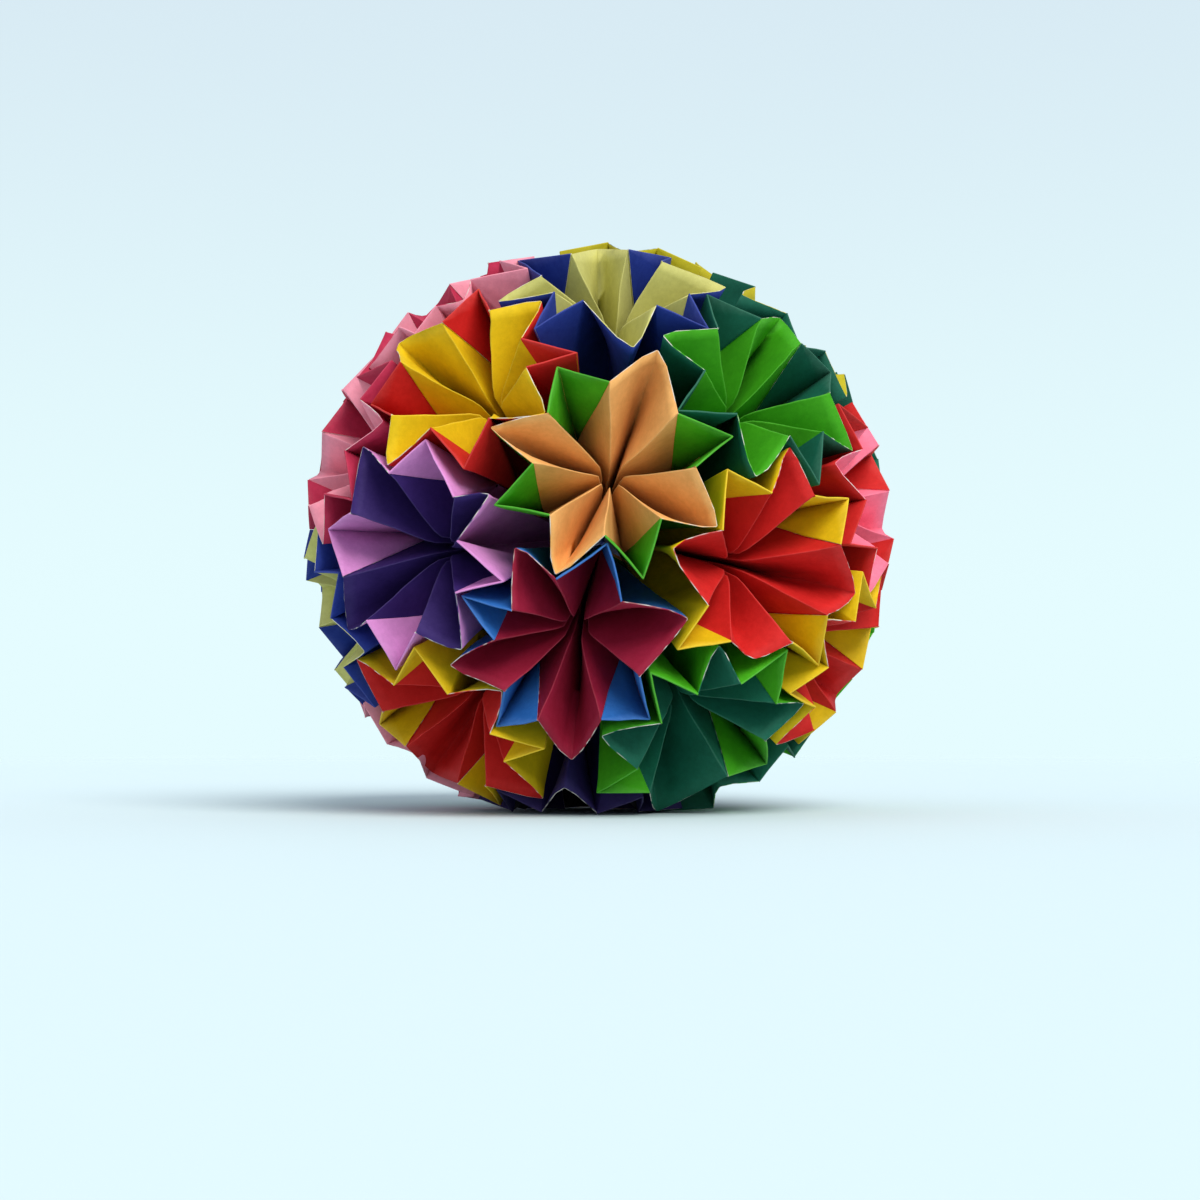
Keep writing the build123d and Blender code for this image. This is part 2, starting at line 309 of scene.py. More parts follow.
back_names = [f"back_flower_{k + 1:02d}" for k in range(BACK_FLOWERS)]
names = list(TRACED_PX) + list(SEEN_PX) + back_names
radii = [TIP_RADIUS, BALL_RADIUS] * (FACETS // 2)
axes, outlines = [], []
for name, pixels in TRACED_PX.items():
    outline = np.array([direction_seen(p, r) for p, r in zip(pixels, radii)])
    axes.append(direction_seen(EYE_PX[name], THROAT_RADIUS))
    outlines.append(held_in(outline, axes[-1]))
seen = [direction_seen(pixel, THROAT_RADIUS) for pixel in SEEN_PX.values()]
traced = len(axes)
axes = np.vstack([axes, spread(np.array(axes), seen)])
outlines += [star(axis, 0) for axis in axes[traced:]]
pairs = near_pairs(axes)
neighbours = {i: [j for k, j in pairs if k == i] for i in range(len(axes))}
print("flowers placed:", len(axes), " pairs that may touch:", len(pairs) // 2)

# %% [markdown]
# Each flower that isn't traced now turns and shifts a little, to where its points fall into
# its neighbours' notches. There is no formula for that, but only a few places to choose from,
# so they are tried one after the other, and the one that crowds the neighbours least is kept.

# %% Fit the untraced flowers
TWIST_STEPS = 8
FIT_SWEEPS = 4
SHIFT_ANGLE = math.radians(0.8)
CROWDING_DECIMALS = 9


def crowding(i):
    """How much a flower and its neighbours reach into each other."""
    total = 0
    for j in neighbours[i]:
        total += (entry(outlines[i], axes[j], outlines[j]) ** 2).sum()
        total += (entry(outlines[j], axes[i], outlines[i]) ** 2).sum()
    return round(total, CROWDING_DECIMALS)


twists = np.zeros(len(axes))
for sweep in range(FIT_SWEEPS):
    turns = np.linspace(-math.pi / 8, math.pi / 8, TWIST_STEPS) / (1 + sweep)
    for i in range(traced, len(axes)):
        side = unit(np.cross([0, 0, 1], axes[i]))
        ahead = np.cross(axes[i], side)
        best = crowding(i)
        kept = (axes[i], twists[i], outlines[i])
        shifts = [(0, 0), (1, 0), (-1, 0), (0, 1), (0, -1)] if sweep else [(0, 0)]
        for across, up in shifts:
            tried_axis = unit(kept[0] + (across * side + up * ahead) * SHIFT_ANGLE)
            for turn in turns:
                tried_twist = kept[1] + turn
                axes[i] = tried_axis
                outlines[i] = star(tried_axis, tried_twist)
                crowd = crowding(i)
                if crowd < best:
                    best = crowd
                    kept = (tried_axis, tried_twist, outlines[i])
        axes[i], twists[i], outlines[i] = kept
print("flowers fitted:", len(axes) - traced)

# %% [markdown]
# Whatever still reaches over is drawn back a little at a time, as a folder nudges petals until
# they sit side by side. Of a traced flower and an unseen one, the unseen one gives way.

# %% Draw back the petals that still reach over
CLEAR_ROUNDS = 150
CLEAR_EXTRA_SHARE = 0.05
EDGE_SHARES = [0, 0.25, 0.5, 0.75]


def draw_back(outline, point, axis, angle):
    """Moves one point of an outline toward the flower's axis."""
    point %= FACETS
    outline[point] = unit(outline[point] + unit(axis - outline[point]) * angle)


for cycle in range(CLEAR_ROUNDS):
    crossings = 0
    for i, j in pairs:
        following = np.roll(outlines[i], -1, axis=0)
        for share in EDGE_SHARES:
            samples = unit(outlines[i] * (1 - share) + following * share)
            inside = entry(samples, axes[j], outlines[j])
            for start, edge in zip(*np.nonzero(inside)):
                crossings += 1
                mine = 0.5 if (i < traced) == (j < traced) else float(i >= traced)
                depth = inside[start, edge] + CLEAR_ANGLE * CLEAR_EXTRA_SHARE
                draw_back(outlines[i], start, axes[i], depth * mine * (1 - share))
                draw_back(outlines[i], start + 1, axes[i], depth * mine * share)
                draw_back(outlines[j], edge, axes[j], depth * (1 - mine) / 2)
                draw_back(outlines[j], edge + 1, axes[j], depth * (1 - mine) / 2)
    if crossings == 0:
        break
print("reaching over after round", cycle, "of drawing back:", crossings)

# %% [markdown]
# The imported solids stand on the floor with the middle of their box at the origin, while the
# layout is measured from the ball's centre. Each flower's corners give a box that must match
# its solid's box, so the shift between the two is where the ball's centre lies, and what is
# left over shows that both were laid out alike.

# %% The ball's centre in the frame


def at_rim(direction, radius):
    """A point of a petal's edge, pressed flat where it would reach below the surface."""
    lowest = FLOOR_DEPTH - PAPER_THICKNESS * 2
    return direction * min(radius, lowest / max(-direction[2], lowest / radius))


def rim_and_throat(axis, outline):
    """The corners of a flower's rim, and those where its pleats close."""
    rim = [at_rim(d, TIP_RADIUS if k % 2 == 0 else BALL_RADIUS) for k, d in enumerate(outline)]
    across = unit(outline - (outline @ axis)[:, None] * axis)
    return np.array(rim), axis * THROAT_RADIUS + across * THROAT_HOLE


shifts = []
for name, axis, outline in zip(names, axes, outlines):
    rim, throat = rim_and_throat(axis, outline)
    corners = np.vstack([axis * APEX_RADIUS, throat, rim])
    low, high = np.array(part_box(name)) / MM
    shifts.append((low + high - corners.min(axis=0) - corners.max(axis=0)) / 2)
BALL_CENTRE = np.median(shifts, axis=0)
mismatch = np.abs(shifts - BALL_CENTRE).max()
print("ball centre", BALL_CENTRE.round(2), "mm, largest mismatch", mismatch.round(3), "mm")

# %% [markdown]
# ## One sheet of paper as one surface
#
# A modeller could add every facet as a plate, but paper is one skin. So a flower is one net of
# points: rungs climb from the closed point to the rim, and along each rung the points run
# from a ridge through a valley to the next ridge. Places along a ridge or a valley count from
# 0 at the closed point over 1 at the throat to 2 at the rim.
#
# In the picture the gaps between the flowers show dark outer walls that run far inward, and
# no light comes through the ball. So the drawn paper closes near the ball's middle, deeper
# than the simple solids do, and its valleys are deeper with it. Its rim is where theirs is.

# %% Ridges and valleys
THROAT, RIM = 1, 2
DEEP_SHARE = 0.08           # of the ball's radius, where the drawn paper closes
FLAP_POINT_SHARE = 0.57     # place of the folded corner's point along the valley crease
RIDGE_BEND = 3.0            # mm, over which a ridge turns at the throat
BEND_SAMPLES = (-1, -0.5, 0, 0.5, 1)


def ridge_at(corners, place):
    """A point of a ridge, which bends softly at the throat."""
    start, bend, end = corners
    lengths = np.linalg.norm(bend - start), np.linalg.norm(end - bend)
    reach = min(place, 1) * lengths[0] + max(place - 1, 0) * lengths[1]
    window = min(RIDGE_BEND, reach, sum(lengths) - reach)
    total = 0
    for step in BEND_SAMPLES:
        at = reach + step * window
        if at < lengths[0]:
            total += start + (bend - start) * at / lengths[0]
        else:
            total += bend + (end - bend) * (at - lengths[0]) / lengths[1]
    return total / len(BEND_SAMPLES)


def valley_at(apex, tip, place):
    """A point of a straight valley crease; the folded corner's point lies at the throat."""
    share = min(place, 1) * FLAP_POINT_SHARE + max(place - 1, 0) * (1 - FLAP_POINT_SHARE)
    return apex + (tip - apex) * share


rim, throat = rim_and_throat(axes[0], outlines[0])
waist = valley_at(axes[0] * BALL_RADIUS * DEEP_SHARE, rim[0], THROAT)
print("a valley is", round(float(np.linalg.norm(waist)), 1), "mm from the middle at the throat")

# %% [markdown]
# Columns crowd together beside each crease. Smooth shading then turns only that narrow strip,
# so a fold catches the light as a fine rounded line while the facets beside it stay flat. A
# petal that ends in the raw edge is soft, so its valley is rounded, while a folded tip keeps
# a sharp crease.

# %% Points along one rung
FACET_STEPS = 3             # columns inside a facet, away from its creases
CREASE_STEP = 0.22          # mm, the columns beside a crease, which round it off
CREASE_SHARE = 0.12         # of a narrow facet, where the creases would take it all
SOFT_VALLEY = 0.22          # how round a raw petal's valley is at the rim
CRISP_VALLEY = 0.015


def columns(width):
    """Places across a petal, from 1 at one ridge over 0 in the valley to -1 at the other."""
    near = min(CREASE_STEP / max(width, CREASE_STEP), CREASE_SHARE)
    inner = np.linspace(2 * near, 1 - 2 * near, FACET_STEPS + 1)
    half = np.concatenate([[0, near], inner, [1 - near, 1]])
    return np.concatenate([half[::-1], -half[1:]])


def rung(left, valley, right, softness):
    """Points of one rung, the places across, and how near a crease each one lies."""
    across = columns(np.linalg.norm(left - valley))
    dip = np.sqrt(across**2 + softness**2) - softness
    dip /= np.sqrt(1 + softness**2) - softness
    middle, half = (left + right) / 2, (left - right) / 2
    points = valley + dip[:, None] * (middle - valley) + across[:, None] * half
    marks = np.zeros(len(across))
    marks[[0, -1]] = 1
    marks[len(across) // 2] = 1 - softness / SOFT_VALLEY
    return points, across, marks


print("points on a rung:", len(columns(CREASE_STEP)))

# %% [markdown]
# ## The folded-in corner
#
# At every other tip a corner of the sheet is folded back inside. The net simply goes on: round
# a tight half circle at the fold, and back over the petal to the corner's own raw edges. The
# paper turns over by itself there, so the colour of its other face comes to show.

# %% Round the fold and back
LAYER = PAPER_THICKNESS + 0.06
FOLD_TURNS = np.radians([45, 90, 135, 180])
FLAP_LIFT = 0.25            # mm, how far a folded-in corner stands off at its point
FLAP_ARCH = 1.5             # how much of that lift keeps to the middle of the corner
FLAP_RUNGS = 7


def flap_rungs(apex, left, tip, right):
    """Rungs of a folded-in corner, from the fold to its raw edge."""
    point = valley_at(apex, tip, THROAT)
    normals, outwards = [], []
    for ridge, turn in ((left, 1), (right, -1)):
        normal = unit(np.cross(tip - point, ridge - point)) * turn
        normals.append(normal)
        outwards.append(unit(np.cross(ridge - tip, normal)) * turn)
    bisector = unit(normals[0] + normals[1])
    mitre = bisector / (bisector @ normals[0])

    def lifted(place, rise, arch, bulge):
        """A rung raised off the petal, arched in the middle and pushed out past the fold."""
        points, across, marks = rung(left, valley_at(apex, tip, place), right, CRISP_VALLEY)
        side = np.where(across > 0, 0, 1)
        up = np.array(normals)[side]
        up[across == 0] = mitre
        out = np.array(outwards)[side]
        out[across == 0] = unit(outwards[0] + outwards[1])
        height = rise + FLAP_LIFT * (arch * (1 - np.abs(across))) ** FLAP_ARCH
        return points + up * height[:, None] + out * bulge

    for angle in FOLD_TURNS:
        yield lifted(RIM, LAYER / 2 * (1 - math.cos(angle)), 0, LAYER / 2 * math.sin(angle)), 1
    for step in range(1, FLAP_RUNGS + 1):
        back = step / FLAP_RUNGS
        yield lifted(RIM - back, LAYER, back, 0), 0


print("a folded corner adds", len(FOLD_TURNS) + FLAP_RUNGS, "rungs")

# %% [markdown]
# Each of the eight petals is a strip of such rungs. A petal with a raw edge climbs straight
# up. At a folded corner the valley waits at the throat while the ridges climb, so that the
# facets beside it stay flat, and then climbs alone before the corner turns back.

# %% The rungs of one petal
STEM_RUNGS = 7              # from the closed point to the throat
CUP_RUNGS = 8               # from the throat to the rim


def petal_rungs(apex, ridges, tip, folded):
    """Points and crease marks of a petal's rungs, from the closed point outward."""
    stem = [k / STEM_RUNGS for k in range(1, STEM_RUNGS + 1)]
    cup = [THROAT + k / CUP_RUNGS for k in range(1, CUP_RUNGS + 1)]
    if folded:
        climb = [(k, k) for k in stem] + [(k, THROAT) for k in cup] + [(RIM, k) for k in cup]
    else:
        climb = [(k, k) for k in stem + cup]
    for ridge_place, valley_place in climb:
        left, right = (ridge_at(ridge, ridge_place) for ridge in ridges)
        valley = valley_at(apex, tip, valley_place)
        roundness = CRISP_VALLEY if folded else SOFT_VALLEY * (valley_place / RIM) ** 2
        placed, across, near = rung(left, valley, right, max(roundness, CRISP_VALLEY))
        yield placed, near
    if folded:
        # Rungs round the fold get full crease marks, lightened later as cracked dye and painted
        # highlight
        for placed, cracked_and_highlit in flap_rungs(apex, ridges[0][-1], tip, ridges[1][-1]):
            yield placed, np.full(len(placed), float(cracked_and_highlit))


print("a raw petal has", STEM_RUNGS + CUP_RUNGS, "rungs, a folded one", CUP_RUNGS, "more")

# %% [markdown]
# The petals follow each other round the flower, and all of them start from the one closed
# point. Neighbouring strips end on the same ridge, where their points are joined afterwards.

# %% Build the surface of one flower


def flower_net(axis, outline):
    """Points, faces and crease marks of the middle surface of a flower's paper."""
    apex = axis * BALL_RADIUS * DEEP_SHARE
    rim, throat = rim_and_throat(axis, outline)
    ridges = [(apex, bend, end) for bend, end in zip(throat, rim)]
    points, faces, marks = [apex], [], [0.0]
    for tip in range(0, FACETS, 2):
        beside = ridges[tip - 1], ridges[(tip + 1) % FACETS]
        previous = None
        for placed, near in petal_rungs(apex, beside, rim[tip], tip % 4 == 2):
            row = range(len(points), len(points) + len(placed))
            points.extend(placed)
            marks.extend(near)
            if previous is None:
                faces.extend((0, b, a) for a, b in zip(row, row[1:]))
            else:
                faces.extend((p, q, b, a) for p, q, a, b in zip(previous, previous[1:], row, row[1:]))
            previous = row
    return np.array(points), faces, np.array(marks)


points, faces, marks = flower_net(axes[0], outlines[0])
print("points of one flower:", len(points), " faces:", len(faces))

# %% [markdown]
# Neighbouring petals end on the same ridge, and a folded corner's rungs all end on the same
# two spots. One sheet has each of those spots only once, so the points there are joined.
# Blender can merge points as well, but it may take them in another order each time, while
# this way every run gives the same mesh.

# %% Join the petals
SPOT_DECIMALS = 3           # points that agree to a thousandth of a millimetre are one spot


def joined(points, faces, marks):
    """The net with each spot once, creased where any of the points there was."""
    spots = {}
    rounded = points.round(SPOT_DECIMALS).tolist()
    spot_of = [spots.setdefault(tuple(place), len(spots)) for place in rounded]
    places, creased = np.zeros((len(spots), 3)), np.zeros(len(spots))
    places[spot_of] = points
    np.maximum.at(creased, spot_of, marks)
    corners = [list(dict.fromkeys(spot_of[k] for k in face)) for face in faces]
    return places, [face for face in corners if len(face) > 2], creased


points, faces, marks = joined(points, faces, marks)
print("joined into", len(points), "points and", len(faces), "faces")

# %% [markdown]
# ## Shader maths
#
# A material is a graph of nodes. Wiring a dozen small sums by hand hides what they do, so one
# class wraps a node's output and lets it be used in an expression like a number. Each
# operator adds the Math node that it stands for.

# %% A class for shader maths


class Signal:
    """An output of a shader node, which takes part in sums like a number."""

    def __init__(self, tree, socket=None):
        self.tree = tree
        self.socket = socket

    def node(self, kind, settings, sockets, output=0):
        """Adds a node: its settings first, then the values or links of its sockets."""
        made = self.tree.nodes.new(kind)
        for name, value in settings.items():
            setattr(made, name, value)
        for name, value in sockets.items():
            if isinstance(value, Signal):
                self.tree.links.new(value.socket, made.inputs[name])
            else:
                made.inputs[name].default_value = value
        return Signal(self.tree, made.outputs[output] if made.outputs else None)

    def maths(self, operation, *values):
        return self.node("ShaderNodeMath", {"operation": operation}, dict(enumerate(values)))

    def __add__(self, other):
        return self.maths("ADD", self, other)

    def __sub__(self, other):
        return self.maths("SUBTRACT", self, other)

    def __rsub__(self, other):
        return self.maths("SUBTRACT", other, self)

    def __mul__(self, other):
        return self.maths("MULTIPLY", self, other)

    __radd__ = __add__
    __rmul__ = __mul__

    def between(self, low, high):
        """0 below the low value, 1 above the high one, and smooth in between."""
        settings = {"interpolation_type": "SMOOTHSTEP"}
        return self.node("ShaderNodeMapRange", settings, {"Value": self, 1: low, 2: high})

    def blend(self, below, above):
        """A colour from below where this is 0 to above where it is 1."""
        settings = {"data_type": "RGBA"}
        return self.node("ShaderNodeMix", settings, {0: self, 6: below, 7: above}, 2)


print("a Signal can be added, subtracted and multiplied, also with plain numbers")

# %% [markdown]
# ## Coloured paper
#
# The sheets are dyed thinly on both faces, with a white core that shows where the paper is
# cut. Every crease is lightened toward that core, partly as cracked dye and partly as a
# painted highlight along the fold. Dye has run into the cut edge in places, so the white
# comes and goes along it; each flower's mesh carries its own dye for that. The dye lies a
# little unevenly over the fibres. A picture of paper could be wrapped round each flower, but
# noise that fills space needs no wrapping, has no seam, and runs on over folds.

# %% Colours of the paper
PAPER_COLOURS = {
    "tan": (238, 174, 97),
    "light_green": (60, 164, 8),
    "dark_green": (8, 95, 70),
    "yellow": (232, 192, 0),
    "red": (206, 23, 19),
    "maroon": (150, 13, 46),
    "sky_blue": (34, 103, 181),
    "purple": (46, 23, 96),
    "lilac": (224, 142, 208),
    "cream": (204, 200, 112),
    "royal_blue": (29, 53, 146),
    "pink": (244, 150, 168),
    "hot_pink": (255, 122, 148),
    "rose": (190, 36, 72),
    "olive": (194, 181, 17),
    "black": (30, 28, 32),
    "indigo": (38, 24, 86),
    "core": (226, 220, 208),
}

FLOWER_PAPERS = {
    "tan_flower": ("tan", "light_green"),
    "maroon_flower": ("maroon", "sky_blue"),
    "green_flower": ("light_green", "dark_green"),
    "yellow_flower": ("yellow", "red"),
    "purple_flower": ("purple", "lilac"),
    "red_flower": ("red", "yellow"),
    "cream_flower": ("cream", "royal_blue"),
    "low_red_flower": ("red", "yellow"),
    "dark_green_flower": ("dark_green", "light_green"),
    "bottom_black_flower": ("black", "indigo"),
    "left_pink_flower": ("pink", "rose"),
    "high_left_pink_flower": ("rose", "pink"),
    "low_left_cream_flower": ("cream", "royal_blue"),
    "high_right_olive_flower": ("olive", "dark_green"),
    "right_pink_flower": ("hot_pink", "red"),
    "right_red_flower": ("red", "yellow"),
    "low_right_green_flower": ("light_green", "dark_green"),
    "back_flower_01": ("olive", "dark_green"),
    "back_flower_02": ("pink", "rose"),
    "back_flower_03": ("tan", "royal_blue"),
    "back_flower_04": ("maroon", "pink"),
    "back_flower_05": ("yellow", "royal_blue"),
    "back_flower_06": ("cream", "light_green"),
    "back_flower_07": ("dark_green", "olive"),
    "back_flower_08": ("rose", "pink"),
    "back_flower_09": ("purple", "lilac"),
    "back_flower_10": ("pink", "maroon"),
    "back_flower_11": ("dark_green", "tan"),
    "back_flower_12": ("red", "yellow"),
    "back_flower_13": ("light_green", "dark_green"),
    "back_flower_14": ("sky_blue", "maroon"),
    "back_flower_15": ("red", "tan"),
    "back_flower_16": ("tan", "light_green"),
    "back_flower_17": ("cream", "royal_blue"),
}
print("paper colours:", len(PAPER_COLOURS), " papers in use:", len(set(FLOWER_PAPERS.values())))

# %% [markdown]
# Those colours are as they look on a screen, in 255 steps. Blender counts light instead, so
# each one goes through the curve that all screens share.

# %% Screen colours as light
SCREEN_STEPS = 255


def linear(colour):
    """A screen's colour in Blender's linear values, opaque."""
    steps = [c / SCREEN_STEPS for c in colour]
    return [c / 12.92 if c <= 0.04045 else ((c + 0.055) / 1.055) ** 2.4 for c in steps] + [1]


print("half bright on a screen is", round(linear([SCREEN_STEPS / 2])[0], 2), "of the light")

# %% [markdown]
# Three sizes of noise make the paper: clouds in the dye as wide as a petal, fibres of about a
# millimetre, and the fine tooth that the fingers feel. The finer two also raise the surface a
# few hundredths of a millimetre, so that the light breaks up a little on every facet.

# %% What varies over the paper
CLOUD_SCALE, CLOUD_DETAIL, CLOUD_SHARE = 0.11, 2.0, 0.55
FIBRE_SCALE, FIBRE_DETAIL, FIBRE_SHARE = 0.9, 3.0, 0.3
TOOTH_SCALE, TOOTH_DETAIL, TOOTH_SHARE = 4.0, 2.0, 0.15
GRAIN_ROUGHNESS = 0.6
TOOTH_DEPTH = 0.035 * MM


def grain(start, scale, detail):
    """Noise that fills space, with so many humps to a millimetre."""
    space = start.node("ShaderNodeTexCoord", {}, {}, "Object")
    sockets = {"Vector": space, "Scale": scale / MM, "Detail": detail, "Roughness": GRAIN_ROUGHNESS}
    return start.node("ShaderNodeTexNoise", {"noise_dimensions": "3D"}, sockets)


print("humps of noise", [round(1 / s, 2) for s in (CLOUD_SCALE, FIBRE_SCALE, TOOTH_SCALE)], "mm wide")

# %% [markdown]
# The clouds shift the dye a little lighter or darker. Every crease fades slightly toward the
# white core, more where the fibres lie open: partly cracked dye, partly a painted highlight
# along the fold. The cut edge is the core itself, with the flower's own dye over part of it.
# Matt paper has a weak, wide shine.

# %% Make the paper materials
DYE_CHANGE = 0.10           # how much darker the dye is where it lies thickest
DYE_PALER_SHARE = 0.5       # of that change, toward white where it lies thin
DYE_FROM, DYE_TO = 0.3, 0.7
# Crease lightening, partly cracked dye and partly a painted highlight along every fold
CRACK_AND_HIGHLIGHT_COLOUR = 0.035      # how far a crease fades toward the white core
CRACK_AND_HIGHLIGHT_LEAST = 0.35
BARE_SCALE, BARE_DETAIL = 0.35, 1.0
BARE_FROM, BARE_TO = 0.38, 0.66
ROUGHNESS = 0.8
ROUGHNESS_UNEVEN = 0.25
ROUGHNESS_FOLD = 0.1
SPECULAR = 0.25


def paper_material(name, colour, cut=False):
    """Matt dyed paper, with clouds in the dye, fibres, tooth, and creases lightened as cracked dye and
    painted highlight.
    """
    material = bpy.data.materials.new(name)
    material.use_nodes = True
    tree = material.node_tree
    start = Signal(tree)
    shader = tree.nodes["Principled BSDF"]
    fold = start.node("ShaderNodeAttribute", {"attribute_name": "fold"}, {}, 2)
    clouds = grain(start, CLOUD_SCALE, CLOUD_DETAIL)
    fibres = grain(start, FIBRE_SCALE, FIBRE_DETAIL)
    tooth = grain(start, TOOTH_SCALE, TOOTH_DETAIL)
    uneven = clouds * CLOUD_SHARE + fibres * FIBRE_SHARE + tooth * TOOTH_SHARE
    deep = linear([c * (1 - DYE_CHANGE) for c in colour])
    pale = linear([c + (SCREEN_STEPS - c) * DYE_CHANGE * DYE_PALER_SHARE for c in colour])
    tint = uneven.between(DYE_FROM, DYE_TO).blend(deep, pale)
    if cut:
        dye = start.node("ShaderNodeAttribute", {"attribute_name": "dye"}, {}, 0)
        bare = grain(start, BARE_SCALE, BARE_DETAIL).between(BARE_FROM, BARE_TO)
        tint = bare.blend(dye, tint)
    else:
        # Creases lighten toward the core: partly cracked dye, partly painted highlight
        cracked_and_highlit = fold * (CRACK_AND_HIGHLIGHT_LEAST + fibres) * CRACK_AND_HIGHLIGHT_COLOUR
        tint = cracked_and_highlit.blend(tint, linear(PAPER_COLOURS["core"]))
    rough = ROUGHNESS - uneven * ROUGHNESS_UNEVEN + fold * ROUGHNESS_FOLD
    height = tooth * 0.5 + fibres * 0.5
    relief = {"Strength": 1.0, "Distance": TOOTH_DEPTH, "Height": height}
    bump = start.node("ShaderNodeBump", {}, relief)
    for signal, socket in ((tint, "Base Color"), (rough, "Roughness"), (bump, "Normal")):
        tree.links.new(signal.socket, shader.inputs[socket])
    shader.inputs["Specular IOR Level"].default_value = SPECULAR
    return material


materials = {
    name: paper_material(f"{name}_paper", colour, name == "core")
    for name, colour in PAPER_COLOURS.items()
}
print("paper materials:", len(materials))

# %% [markdown]
# ## Laying the paper over the folded solids
#
# Paper never keeps quite flat. Each sheet could be bent on its own, but then neighbours would
# cut into each other. Instead one gentle wave runs through the whole ball and carries every
# point along with it, so each petal bends its own way and all of them stay clear. Blender
# draws its noise from the clock unless it is given a seed, so it gets one.

# %% Bend the paper
WAVES = (                   # mm: how high, how long, and from what radius outward
    (0.55, 12.0, 0.0),
    (0.28, 4.2, 60.0),
)
STILL_FROM = 60.0           # mm from the middle; further out the waves only run sideways
WAVE_SEED = 7
noise.seed_set(WAVE_SEED)


def waved(point):
    """The place of a point after the waves have passed through it."""
    radius = np.linalg.norm(point)
    outward = point / radius
    push = np.zeros(3)
    for height, length, start in WAVES:
        grown = min(max((radius - start) / (TIP_RADIUS - start), 0), 1)
        push += np.array(noise.noise_vector(Vector(point / length))) * height * grown
    still = min(max((radius - STILL_FROM) / (TIP_RADIUS - STILL_FROM), 0), 1)
    return point + push - (push @ outward) * still * outward


print("wave heights", [height for height, length, start in WAVES], "mm")

# %% [markdown]
# The plain net has no thickness. Blender's Solidify modifier gives it the paper's real two
# tenths of a millimetre, and can give the far face and the cut edge materials of their own.
# That is just how the two-colour sheet is built, so each face takes its colour by itself.


def paper_flower(name, axis, outline):
    """One folded sheet, laid over the solid of that name."""
    points, faces, marks = joined(*flower_net(axis, outline))
    places = [(waved(point) + BALL_CENTRE) * MM for point in points]
    mesh = bpy.data.meshes.new(f"{name}_paper")
    mesh.from_pydata(places, [], faces)
    inner, outer = FLOWER_PAPERS[name]
    dyes = linear(PAPER_COLOURS[inner]) * len(points)
    # fold marks the creases that are lightened, partly as cracked dye, partly as painted highlight
    mesh.attributes.new("fold", "FLOAT", "POINT").data.foreach_set("value", marks)
    mesh.attributes.new("dye", "FLOAT_COLOR", "POINT").data.foreach_set("color", dyes)
    mesh.shade_smooth()
    piece = bpy.data.objects.new(f"{name}_paper", mesh)
    bpy.context.scene.collection.objects.link(piece)
    for colour in (inner, outer, "core"):
        mesh.materials.append(materials[colour])
    thick = piece.modifiers.new("paper", "SOLIDIFY")
    thick.thickness = PAPER_THICKNESS * MM
    thick.offset = 0
    thick.material_offset = 1
    thick.material_offset_rim = 2
    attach(piece, "root")
    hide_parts(name)
    return piece


# %% Make all the flowers
flowers = [paper_flower(*parts) for parts in zip(names, axes, outlines)]
count = sum(len(flower.data.polygons) for flower in flowers)
print("paper flowers:", len(flowers), " faces before thickness:", count)

# %% [markdown]
# ## Floor
#
# The ball is shown on a seamless pale sweep. A floor that ends somewhere would draw a line
# behind the ball. This one fades into the pale surroundings with the distance from the ball,
# so no line shows from any side, and the shadow under the ball stays.

# %% Floor
FLOOR_REACH = 4.0           # m
FLOOR_SIDES = 64
FADE_FROM, FADE_TO = 0.30, 1.10
BOARD = linear((212, 232, 234))
BOARD_ROUGHNESS = 0.9

mesh = bpy.data.meshes.new("floor")
board = bmesh.new()
bmesh.ops.create_circle(board, cap_ends=True, segments=FLOOR_SIDES, radius=FLOOR_REACH)
board.to_mesh(mesh)
board.free()
floor = bpy.data.objects.new("floor", mesh)
bpy.context.scene.collection.objects.link(floor)

material = bpy.data.materials.new("pale_board")
material.use_nodes = True
tree = material.node_tree
start = Signal(tree)
place = start.node("ShaderNodeTexCoord", {}, {}, "Object")
distance = start.node("ShaderNodeVectorMath", {"operation": "LENGTH"}, {0: place}, "Value")
shader = tree.nodes["Principled BSDF"]
shader.inputs["Base Color"].default_value = BOARD
shader.inputs["Roughness"].default_value = BOARD_ROUGHNESS
clear = start.node("ShaderNodeBsdfTransparent", {}, {})
faded = distance.between(FADE_FROM, FADE_TO)
solid = Signal(tree, shader.outputs[0])
mixed = start.node("ShaderNodeMixShader", {}, {0: faded, 1: solid, 2: clear})
tree.links.new(mixed.socket, tree.nodes["Material Output"].inputs["Surface"])
mesh.materials.append(material)
print("floor reaches", FLOOR_REACH, "m")

# %% [markdown]
# ## Light
#
# The picture was taken in soft daylight, from above, in front and a little to the right. A
# pale sky fills the hollows of the flowers from all round. What the camera sees behind the
# ball is a pale tone which lights nothing, painted a little darker higher up as shade on a
# backdrop lit from above.

# %% Sky
SKY_LIGHT = linear((232, 240, 255))
SKY_STRENGTH = 0.66
BACKDROP_LOW = linear((229, 252, 255))
# Painted shade: the backdrop's tone darkens toward the top
BACKDROP_HIGH = linear((215, 233, 243))
BACKDROP_STRENGTH = 1.0
TONE_FROM, TONE_TO = 0.04, 0.42  # heights of the view's direction between which the tones blend

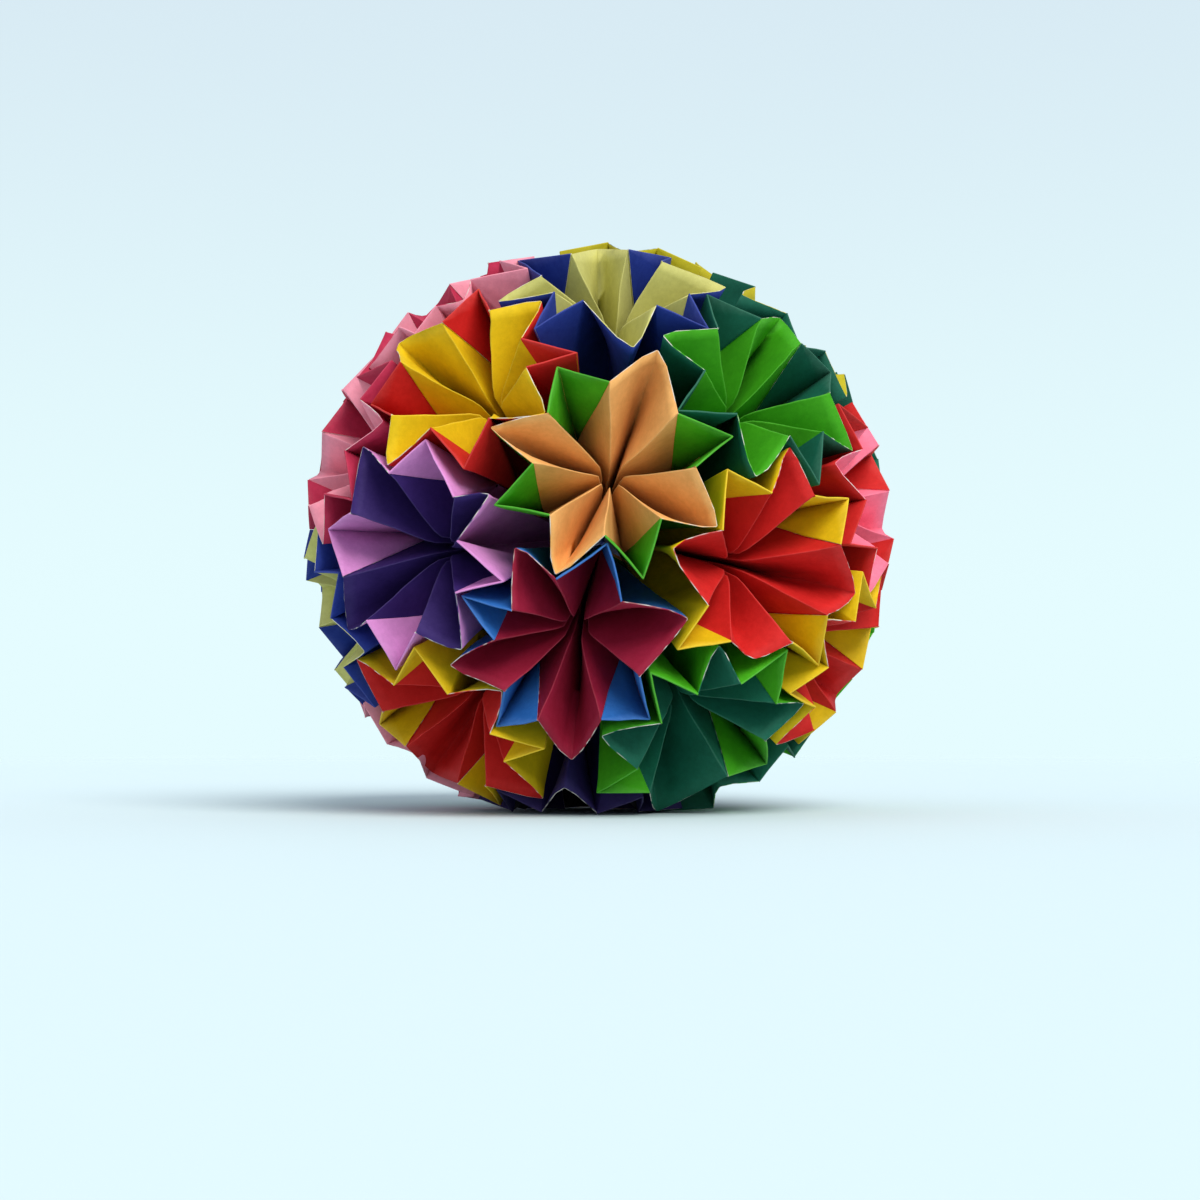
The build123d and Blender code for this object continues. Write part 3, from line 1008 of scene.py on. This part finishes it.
world = bpy.data.worlds.new("daylight")
bpy.context.scene.world = world
world.use_nodes = True
tree = world.node_tree
tree.nodes.clear()
start = Signal(tree)
sky = start.node("ShaderNodeBackground", {}, {"Color": SKY_LIGHT, "Strength": SKY_STRENGTH})
direction = start.node("ShaderNodeTexCoord", {}, {}, "Generated")
height = start.node("ShaderNodeSeparateXYZ", {}, {0: direction}, "Z")
# Painted shade: the backdrop blends darker higher up
tone = height.between(TONE_FROM, TONE_TO).blend(BACKDROP_LOW, BACKDROP_HIGH)
backdrop = start.node("ShaderNodeBackground", {}, {"Color": tone, "Strength": BACKDROP_STRENGTH})
seen = start.node("ShaderNodeLightPath", {}, {}, "Is Camera Ray")
both = start.node("ShaderNodeMixShader", {}, {0: seen, 1: sky, 2: backdrop})
start.node("ShaderNodeOutputWorld", {}, {"Surface": both})
print("sky strength", SKY_STRENGTH)

# %% [markdown]
# A small lamp would cut hard shadows into the folds. A sun with a very wide disc, like a
# window nearby, keeps the direction of the light and gives the long soft shading.

# %% Sun
SUN_FROM = Vector((0.36, -0.72, 0.80))
SUN_STRENGTH = 2.9
SUN_WIDTH = math.radians(40)
SUN_COLOUR = (1.0, 0.975, 0.94)

lamp = bpy.data.lights.new("window_light", "SUN")
lamp.energy = SUN_STRENGTH
lamp.angle = SUN_WIDTH
lamp.color = SUN_COLOUR
sun = bpy.data.objects.new("window_light", lamp)
sun.rotation_euler = SUN_FROM.to_track_quat("Z", "Y").to_euler()
bpy.context.scene.collection.objects.link(sun)
print("sun strength", SUN_STRENGTH)

# %% [markdown]
# ## Camera
#
# The lens and the distance are those at which the ball's outline and its foreshortening fit
# the picture. The camera looks at the ball's middle from a little below it, and the shift
# slides the frame so that the ball stands where it does in the picture.

# %% Camera
PICTURE_PX = 1200
SENSOR = 36.0
NEAREST = 0.01              # m, nothing nearer to the camera shows

lens_view = bpy.data.cameras.new("camera")
lens_view.sensor_width = SENSOR
lens_view.lens = BALL_RADIUS_PX / BALL_RADIUS * CAMERA_DISTANCE / PICTURE_PX * SENSOR
lens_view.shift_x = (PICTURE_PX / 2 - CENTRE_X_PX) / PICTURE_PX
lens_view.shift_y = -(PICTURE_PX / 2 - CENTRE_Y_PX) / PICTURE_PX
lens_view.clip_start = NEAREST
camera = bpy.data.objects.new("camera", lens_view)
away = Vector((0, -math.cos(CAMERA_ELEVATION), math.sin(CAMERA_ELEVATION)))
camera.location = (Vector(BALL_CENTRE) + away * CAMERA_DISTANCE) * MM
camera.rotation_euler = (math.pi / 2 - CAMERA_ELEVATION, 0, 0)
bpy.context.scene.collection.objects.link(camera)
bpy.context.scene.camera = camera
bpy.context.scene.view_settings.view_transform = "Standard"
print("lens", round(lens_view.lens, 2), "mm, height", round(camera.location.z * 1000, 1), "mm")
